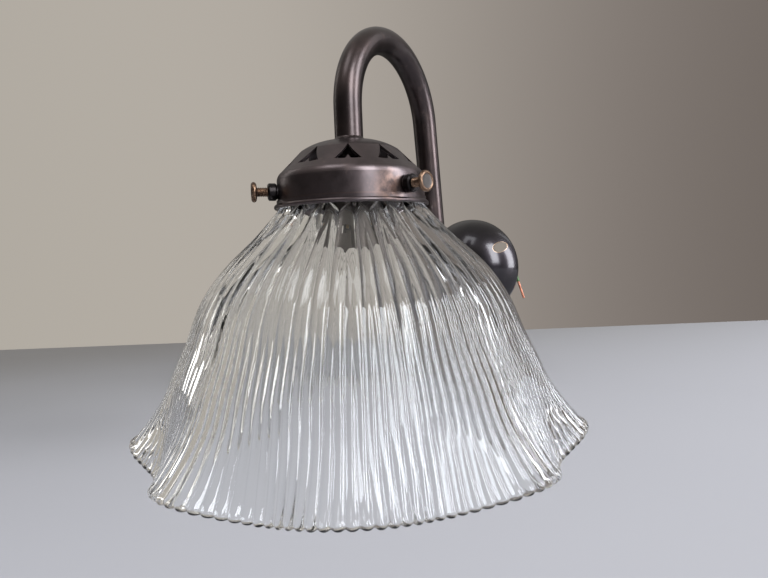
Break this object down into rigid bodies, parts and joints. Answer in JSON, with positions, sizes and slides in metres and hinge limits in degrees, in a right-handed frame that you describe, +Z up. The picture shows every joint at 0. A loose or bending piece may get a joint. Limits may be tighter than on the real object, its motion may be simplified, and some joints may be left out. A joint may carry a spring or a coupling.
{
  "type": "wall lamp",
  "caption": "Wall lamp: a swan-neck tube rises from a domed wall rose and over to a pierced gallery with thumb screws that hold a ribbed, frilled bell shade of clear glass.",
  "frame": {"origin": "centre of the wall rose's back edge, on the wall", "axes": "+Y into the wall, +Z up, +X to the right when facing the wall; the lamp reaches out along -Y"},
  "size_m": [0.1884, 0.255, 0.1842],
  "materials": {
    "aged_brass": "bronze-toned and rubbed through at the edges, semi-gloss",
    "rose_bronze": "near-black bronze, glossy",
    "plain_brass": "plain turned brass",
    "lampholder_brass": "darkened brass, satin",
    "black_bush": "blackened brass, satin",
    "clear_glass": "clear pressed glass with fine ribs",
    "black_plastic": "moulded",
    "ceramic": null,
    "steel": "plated",
    "flex_cover": "smooth",
    "brown_core": "smooth",
    "blue_core": "smooth",
    "green_core": "smooth",
    "copper": "bare stranded copper"
  },
  "bodies": {
    "lamp": {"wall_rose": "rose_bronze", "rose_washer": "steel", "rose_lock_nut": "plain_brass", "rear_nipple": "plain_brass", "rear_bush": "black_plastic", "swan_neck_arm": "aged_brass", "flex_sheath": "flex_cover", "gallery": "aged_brass", "gallery_bush_1": "black_bush", "gallery_bush_2": "black_bush", "gallery_bush_3": "black_bush", "glass_shade": "clear_glass", "front_nipple": "plain_brass", "lampholder_cap": "lampholder_brass", "lampholder_ring": "lampholder_brass", "lampholder_barrel": "lampholder_brass", "lampholder_core": "ceramic", "plunger_spring_1": "steel", "plunger_spring_2": "steel", "contact_terminal_1": "plain_brass", "contact_terminal_2": "plain_brass", "terminal_screws": "steel", "earth_screw": "plain_brass", "live_lead": "brown_core", "neutral_lead": "blue_core", "earth_lead": "green_core", "live_tail": "brown_core", "neutral_tail": "blue_core", "earth_tail": "green_core", "live_tail_end": "copper", "neutral_tail_end": "copper", "earth_tail_end": "copper"},
    "screw_1": {"thumb_screw_1": "plain_brass"},
    "screw_2": {"thumb_screw_2": "plain_brass"},
    "screw_3": {"thumb_screw_3": "plain_brass"},
    "plunger_1": {"contact_plunger_1": "plain_brass"},
    "plunger_2": {"contact_plunger_2": "plain_brass"}
  },
  "joints": [
    {"name": "thumb_screw_1_travel", "type": "slide", "parent": "lamp", "child": "screw_1", "axis": [0.9774, -0.2113, 0], "range_m": [0, 0.005]},
    {"name": "thumb_screw_2_travel", "type": "slide", "parent": "lamp", "child": "screw_2", "axis": [-0.3057, 0.9521, 0], "range_m": [0, 0.005]},
    {"name": "thumb_screw_3_travel", "type": "slide", "parent": "lamp", "child": "screw_3", "axis": [-0.6717, -0.7408, 0], "range_m": [0, 0.005]},
    {"name": "contact_plunger_1_travel", "type": "slide", "parent": "lamp", "child": "plunger_1", "axis": [0, 0, 1], "range_m": [0, 0.003], "stiffness_N_per_m": 800, "springref_m": -0.004, "deforming": ["plunger_spring_1"]},
    {"name": "contact_plunger_2_travel", "type": "slide", "parent": "lamp", "child": "plunger_2", "axis": [0, 0, 1], "range_m": [0, 0.003], "stiffness_N_per_m": 800, "springref_m": -0.004, "deforming": ["plunger_spring_2"]}
  ]
}
